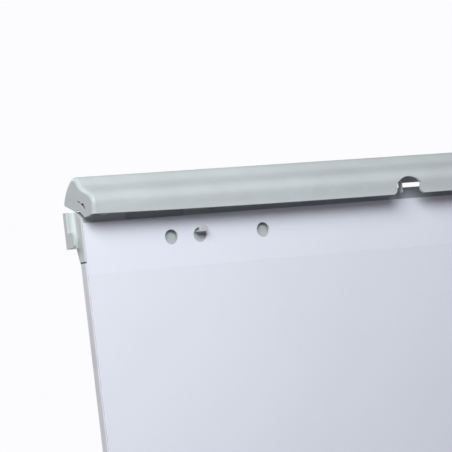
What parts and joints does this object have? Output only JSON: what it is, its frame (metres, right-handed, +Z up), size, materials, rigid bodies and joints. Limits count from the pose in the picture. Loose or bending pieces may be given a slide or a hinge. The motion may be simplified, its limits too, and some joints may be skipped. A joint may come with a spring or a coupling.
{
  "type": "flipchart easel",
  "caption": "Tripod flipchart easel: leaning board with a hooked paper pad under a hinged clamp rail, a pen tray, side hooks and telescoping legs.",
  "frame": {"origin": "on the floor, in the middle of the box round the standing easel", "axes": "+Z up, +X to the right of a person who faces the pad, -Y towards that person"},
  "size_m": [0.6744, 0.9358, 1.8574],
  "materials": {
    "rail_plastic": "fine satin moulding, light grey-green",
    "cap_plastic": "satin moulding, mid grey",
    "beam_paint": "satin grey paint",
    "side_paint": "satin lilac-grey paint",
    "board_laminate": "white laminate on chipboard",
    "paper": "smooth white paper",
    "card": "grey-brown card",
    "peg_plastic": "grey plastic",
    "tray_aluminium": "satin anodised",
    "black_plastic": "grained black plastic",
    "zinc": "zinc plated",
    "rubber": "matt black rubber",
    "inner_steel": "bright plated tube",
    "leg_paint": "satin grey powder coat"
  },
  "bodies": {
    "board": {"board_panel": "board_laminate", "bottom_beam": "beam_paint", "brace_rivets": "zinc", "clip_screws": "zinc", "corner_bottom_left": "cap_plastic", "corner_bottom_right": "cap_plastic", "corner_top_left": "cap_plastic", "corner_top_right": "cap_plastic", "cross_brace": "leg_paint", "hinge_bracket": "black_plastic", "hinge_pin": "zinc", "hinge_screws": "zinc", "leg_clip_lower_left": "black_plastic", "leg_clip_lower_right": "black_plastic", "leg_clip_upper_left": "black_plastic", "leg_clip_upper_right": "black_plastic", "leg_collar_left": "black_plastic", "leg_collar_right": "black_plastic", "leg_tube_left": "leg_paint", "leg_tube_right": "leg_paint", "pad_backing": "card", "pad_sheets": "paper", "pen_tray": "tray_aluminium", "pivot_pin_left": "zinc", "pivot_pin_right": "zinc", "seam_gaskets": "rubber", "side_rail_left": "side_paint", "side_rail_right": "side_paint", "top_beam": "beam_paint", "tray_end_left": "black_plastic", "tray_end_right": "black_plastic", "tray_screws": "zinc", "tube_cap_left": "black_plastic", "tube_cap_right": "black_plastic"},
    "clamp": {"clamp_rail": "rail_plastic"},
    "hook_left": {"pad_hook_left": "peg_plastic"},
    "hook_right": {"pad_hook_right": "peg_plastic"},
    "leg_left": {"leg_inner_left": "inner_steel", "leg_guide_left": "black_plastic", "foot_left": "rubber"},
    "leg_right": {"leg_inner_right": "inner_steel", "leg_guide_right": "black_plastic", "foot_right": "rubber"},
    "knob_left": {"leg_knob_left": "black_plastic"},
    "knob_right": {"leg_knob_right": "black_plastic"},
    "rear_leg": {"leg_head": "black_plastic", "rear_tube": "leg_paint", "rear_collar": "black_plastic"},
    "rear_extension": {"rear_inner": "inner_steel", "rear_guide": "black_plastic", "foot_rear": "rubber"},
    "knob_rear": {"rear_knob": "black_plastic"}
  },
  "joints": [
    {"name": "clamp_hinge", "type": "hinge", "parent": "board", "child": "clamp", "pos_m": [0, -0.05717, 1.83229], "axis": [1, 0, 0], "range_deg": [0, 24]},
    {"name": "hook_left_slide", "type": "slide", "parent": "board", "child": "hook_left", "axis": [1, 0, 0], "range_m": [-0.0004, 0.0004]},
    {"name": "hook_right_slide", "type": "slide", "parent": "board", "child": "hook_right", "axis": [-1, 0, 0], "range_m": [-0.0004, 0.0004]},
    {"name": "leg_left_extend", "type": "slide", "parent": "board", "child": "leg_left", "axis": [0, -0.225, -0.9744], "range_m": [-0.7, 0.12]},
    {"name": "leg_right_extend", "type": "slide", "parent": "board", "child": "leg_right", "axis": [0, -0.225, -0.9744], "range_m": [-0.7, 0.12]},
    {"name": "rear_leg_hinge", "type": "hinge", "parent": "board", "child": "rear_leg", "pos_m": [0, -0.02956, 1.79852], "axis": [1, 0, 0], "range_deg": [-28, 0]},
    {"name": "rear_leg_extend", "type": "slide", "parent": "rear_leg", "child": "rear_extension", "axis": [0, 0.2588, -0.9659], "range_m": [-0.7, 0.12]},
    {"name": "knob_left_turn", "type": "hinge", "parent": "board", "child": "knob_left", "pos_m": [-0.286, -0.27667, 0.76153], "axis": [-1, 0, 0], "range_deg": [0, 180]},
    {"name": "knob_right_turn", "type": "hinge", "parent": "board", "child": "knob_right", "pos_m": [0.286, -0.27667, 0.76153], "axis": [1, 0, 0], "range_deg": [0, 180]},
    {"name": "knob_rear_turn", "type": "hinge", "parent": "rear_leg", "child": "knob_rear", "pos_m": [0, 0.25126, 0.75049], "axis": [0, 0.9659, 0.2588], "range_deg": [0, 180]}
  ]
}
